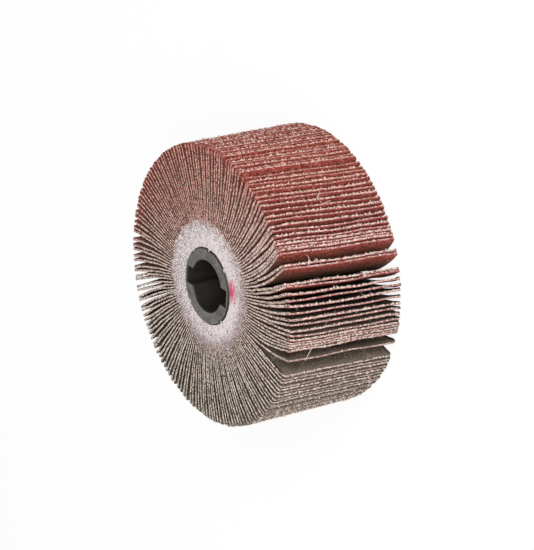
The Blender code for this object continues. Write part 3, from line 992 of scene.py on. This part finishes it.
def build_bush(name, hub, front, materials):
    """One half bush as a grid over direction and profile.

    The profile runs from the bore's mouth across the end face, over the rim chamfer, down
    the outside, across the inner end and back up the relieved bore and the bearing land.
    """
    directions = hub_directions(hub, BUSH_SIDES)
    soft = 0.12 * MM
    chamfer = hub.mouth_chamfer
    rim = hub.rim_chamfer
    relief = hub.bore_radius + hub.land_height
    inner = (
        (hub.bore_radius, hub.land_length - soft, 0.0),
        (hub.bore_radius, chamfer + soft, 0.0),
        (hub.bore_radius + soft * 0.3, chamfer - soft * 0.5, soft * 0.3),
        (hub.bore_radius + chamfer - soft * 0.6, soft * 0.6, chamfer * 0.5),
        (hub.bore_radius + chamfer + soft * 0.4, 0.0, chamfer * 0.7),
    )
    columns = [(keyed(directions, radius, hub, slack), depth) for radius, depth, slack in inner]
    face_inner = columns[-1][0]
    face_outer = notched(directions, hub.bush_radius - rim - soft * 0.4, hub, 0.0)
    for share in (0.25, 0.5, 0.75, 1.0):
        columns.append((face_inner + (face_outer - face_inner) * share, 0.0))
    outer = (
        (hub.bush_radius - rim + soft * 0.6, soft * 0.6),
        (hub.bush_radius - soft * 0.6, rim - soft * 0.6),
        (hub.bush_radius, rim + soft * 0.5),
        (hub.bush_radius, hub.bush_length * 0.3),
        (hub.bush_radius, hub.bush_length - soft),
        (hub.bush_radius - soft, hub.bush_length),
    )
    columns += [(notched(directions, radius, hub, 0.0), depth) for radius, depth in outer]
    back = (
        (relief + soft, hub.bush_length),
        (relief, hub.bush_length - soft),
        (relief, hub.bush_length * 0.5),
        (relief, hub.land_length + soft),
        (relief - soft, hub.land_length),
        (hub.bore_radius + soft, hub.land_length - 0.02 * MM),
    )
    columns += [(keyed(directions, radius, hub, 0.0), depth) for radius, depth in back]
    radius = np.stack([column for column, _ in columns], axis=1)
    depth = np.broadcast_to(np.array([level for _, level in columns]), radius.shape)
    patches = np.ones(radius.shape[1], int)
    patches[3:9] = 0
    if front:
        radius, depth = radius[:, ::-1], (hub.bush_span - depth)[:, ::-1]
        patches = np.roll(patches, 1)[::-1]
    return profile_ring(name, directions, radius, depth, materials, patches)


class WHEEL_OT_build_flaps(bpy.types.Operator):
    """Build every cloth flap of the wheel"""

    bl_idname = "flap_wheel.build_flaps"
    bl_label = "Build Flaps"

    def execute(self, context):
        sizes, _, tones = sizes_of(context)
        lattice = FlapLattice(sizes)
        roots, tips, spacing = flap_angles(sizes)
        grain = grain_finish(tones, sizes)
        backing = backing_finish(tones, sizes)
        side_edge = edge_finish("Cut side of coated cloth", tones, tones.cut, 0.0, 0.1 * MM)
        pale_edge = edge_finish("Frayed tip of coated cloth", tones, tones.tip, 0.1, 0.17 * MM)
        red_edge = edge_finish("Bonded tip of coated cloth", tones, tones.tip, 0.45, 0.24 * MM)
        fluff = fluff_finish(tones)
        rng = np.random.default_rng(sizes.seed)
        for place in range(sizes.count):
            frayed = place % 2 == 0
            beside = (spacing[place - 1], spacing[place])
            points = flap_points(rng, lattice, sizes, roots[place], tips[place], beside, frayed)
            fibre_points, fibre_faces = joined((
                tip_yarns(rng, lattice, sizes, points, frayed),
                tip_fibres(rng, lattice, sizes, points, frayed),
                side_yarns(rng, lattice, points, True),
                side_yarns(rng, lattice, points, False),
            ))
            skin = points[lattice.skin]
            faces = lattice.quads.tolist() + (fibre_faces + len(skin)).tolist()
            patches = np.concatenate((lattice.patches, np.full(len(fibre_faces), 4)))
            texture = np.concatenate((lattice.textures, np.zeros((fibre_faces.size, 2))))
            piece = make_piece(
                f"flap_{place + 1:03d}",
                np.concatenate((skin, fibre_points)),
                faces,
                (grain, backing, side_edge, pale_edge if frayed else red_edge, fluff),
                patches=patches,
                texture=texture,
            )
            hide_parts("flap_pack")
        return {"FINISHED"}


class WHEEL_OT_add_threads(bpy.types.Operator):
    """Add the long threads that have worked loose from the tips"""

    bl_idname = "flap_wheel.add_threads"
    bl_label = "Add Loose Threads"

    def execute(self, context):
        sizes, _, tones = sizes_of(context)
        wanted, heights, lengths, around, upward, bend_around, bend_upward = np.array(LOOSE_THREADS).T
        _, tips, _ = flap_angles(sizes)
        share = heights * MM / sizes.wheel_width
        found = tips + sizes.tip_winding * (share[:, None] - 1)
        away = turn_between(np.radians(wanted)[:, None], found)
        turned = np.take_along_axis(found, abs(away).argmin(1)[:, None], 1)[:, 0]
        radius = np.full(len(wanted), sizes.wheel_radius - LOOSE_INSIDE)
        starts = polar_points(radius, turned, heights * MM + sizes.rear_face)
        half = np.full(len(wanted), 0.5)
        ways = polar_ways(turned, half, around, upward)
        curls = polar_ways(turned, -half, bend_around, bend_upward) * 0.6
        points, faces = hairs(starts, ways, lengths * MM, curls, LOOSE_THREAD, 7, 0.5)
        make_piece("loose_threads", points, faces, (fluff_finish(tones),))
        return {"FINISHED"}


class WHEEL_OT_cast_resin(bpy.types.Operator):
    """Cast the resin ring that holds the flaps"""

    bl_idname = "flap_wheel.cast_resin"
    bl_label = "Cast Resin Ring"

    def execute(self, context):
        sizes, hub, tones = sizes_of(context)
        rng = np.random.default_rng(sizes.seed + 2)
        directions = hub_directions(hub, RESIN_SIDES)
        seat = notched(directions, hub.bush_radius + 0.03 * MM, hub, 0.03 * MM)
        gap = (directions * sizes.count / TURN + 0.5).astype(int) % sizes.count
        waves = ripple(rng, directions * sizes.resin_radius, RIM_WAVE)
        ragged = sizes.resin_radius + RIM_DEPTH * waves
        ragged += RIM_STEP * rng.uniform(-1.0, 1.0, sizes.count)[gap]
        ragged += RIM_ROUGHNESS * rng.normal(size=len(directions))
        share = np.linspace(0.0, 1.0, FACE_POINTS)
        radius = seat[:, None] + (ragged - seat)[:, None] * share
        x = radius * np.cos(directions[:, None])
        y = radius * np.sin(directions[:, None])
        outward = (radius - sizes.root_radius) / (sizes.resin_radius - sizes.root_radius)
        outward = np.clip(outward, 0.0, 1.0)
        bumps = ripple_flat(rng, x, y, FINE_BUMPS) * (0.03 + 0.10 * outward) * MM
        bumps += ripple_flat(rng, x, y, COARSE_BUMPS) * 0.06 * MM
        face = (0.05 - 0.10 * outward) * MM + bumps
        face[:, -2:] -= RIM_FALL
        front = sizes.rear_face + sizes.wheel_width + np.minimum(face, MOST_RISE)
        rear = sizes.rear_face - np.minimum(face, MOST_RISE)
        wall = np.linspace(0.0, 1.0, WALL_POINTS + 2)[1:-1]
        outer_radius = np.repeat(ragged[:, None], len(wall), axis=1)
        outer_level = front[:, -1:] + (rear[:, -1:] - front[:, -1:]) * wall
        inner_radius = np.repeat(seat[:, None], len(wall), axis=1)
        inner_level = rear[:, :1] + (front[:, :1] - rear[:, :1]) * wall
        radii = np.concatenate((radius, outer_radius, radius[:, ::-1], inner_radius), axis=1)
        levels = np.concatenate((front, outer_level, rear[:, ::-1], inner_level), axis=1)
        ring = profile_ring(
            "resin_ring",
            directions,
            radii[:, ::-1],
            levels[:, ::-1],
            (resin_finish(tones, sizes),),
            np.zeros(radii.shape[1], int),
        )
        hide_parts("flap_pack")
        return {"FINISHED"}


class WHEEL_OT_mould_bushes(bpy.types.Operator):
    """Mould the two half bushes"""

    bl_idname = "flap_wheel.mould_bushes"
    bl_label = "Mould Bushes"

    def execute(self, context):
        _, hub, tones = sizes_of(context)
        wear_and_painted_light = plastic_finish(tones, "Rubbed nylon end face", 1.0)
        moulded = plastic_finish(tones, "Moulded black nylon", 0.08)
        for name, front in (("front_bush", True), ("rear_bush", False)):
            piece = build_bush(name + "_detail", hub, front, (wear_and_painted_light, moulded))
            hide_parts(name)
        return {"FINISHED"}


class WHEEL_OT_set_stage(bpy.types.Operator):
    """Lay the floor, hang the lamps and place the camera"""

    bl_idname = "flap_wheel.set_stage"
    bl_label = "Set Stage"

    def execute(self, context):
        scene = context.scene
        corners = np.array(((-1, -1, 0), (1, -1, 0), (1, 1, 0), (-1, 1, 0))) * FLOOR_REACH
        mesh = bpy.data.meshes.new("floor")
        mesh.from_pydata(corners, [], ((0, 1, 2, 3),))
        floor = bpy.data.objects.new("floor", mesh)
        scene.collection.objects.link(floor)
        mesh.materials.append(floor_finish())

        world = bpy.data.worlds.new("Studio")
        world.use_nodes = True
        connect(world.node_tree.nodes["Background"], {"Color": WHITE, "Strength": ROOM_LIGHT})
        scene.world = world

        for name, place, size, power in LAMPS:
            data = bpy.data.lights.new(name, "AREA")
            data.energy = power
            data.size = size
            lamp = bpy.data.objects.new(name, data)
            lamp.location = place
            aim = np.array((0.0, 0.0, BUSH_HIGH.z / 2)) - np.array(place)
            lamp.rotation_euler = looking_along(aim)
            scene.collection.objects.link(lamp)

        data = bpy.data.cameras.new("camera")
        data.lens = CAMERA_LENS
        data.sensor_width = CAMERA_SENSOR
        camera = bpy.data.objects.new("camera", data)
        camera.location = CAMERA_PLACE
        camera.rotation_euler = np.radians(CAMERA_TURN)
        scene.collection.objects.link(camera)
        scene.camera = camera
        scene.view_settings.view_transform = "Standard"
        return {"FINISHED"}


def looking_along(aim):
    """Turn of a lamp whose beam, which leaves it downwards, points along a direction."""
    across = math.hypot(aim[0], aim[1])
    return (math.atan2(across, -aim[2]), 0.0, math.atan2(aim[1], aim[0]) - math.pi / 2)


class WHEEL_PT_panel(bpy.types.Panel):
    """Lists the steps of the wheel with its sizes and colours"""

    bl_idname = "WHEEL_PT_panel"
    bl_label = "Flap Wheel"
    bl_space_type = "VIEW_3D"
    bl_region_type = "UI"
    bl_category = "Flap Wheel"

    def draw(self, context):
        for step in STEPS:
            self.layout.operator(step.bl_idname)
        for group in sizes_of(context):
            box = self.layout.box()
            for name in group.__annotations__:
                box.prop(group, name)


STEPS = (
    WHEEL_OT_build_flaps,
    WHEEL_OT_add_threads,
    WHEEL_OT_cast_resin,
    WHEEL_OT_mould_bushes,
    WHEEL_OT_set_stage,
)
CLASSES = (FlapSizes, HubSizes, WheelColours, *STEPS, WHEEL_PT_panel)


def register():
    """Add the classes and the scene's settings."""
    for item in CLASSES:
        bpy.utils.register_class(item)
    bpy.types.Scene.flap_sizes = bpy.props.PointerProperty(type=FlapSizes)
    bpy.types.Scene.hub_sizes = bpy.props.PointerProperty(type=HubSizes)
    bpy.types.Scene.wheel_colours = bpy.props.PointerProperty(type=WheelColours)


def unregister():
    """Take the scene's settings and the classes away again."""
    del bpy.types.Scene.wheel_colours
    del bpy.types.Scene.hub_sizes
    del bpy.types.Scene.flap_sizes
    for item in reversed(CLASSES):
        bpy.utils.unregister_class(item)


def main():
    """Register the add-on, build the wheel and set its stage."""
    register()
    bpy.ops.flap_wheel.build_flaps()
    bpy.ops.flap_wheel.add_threads()
    bpy.ops.flap_wheel.cast_resin()
    bpy.ops.flap_wheel.mould_bushes()
    bpy.ops.flap_wheel.set_stage()


if __name__ == "__main__":
    main()
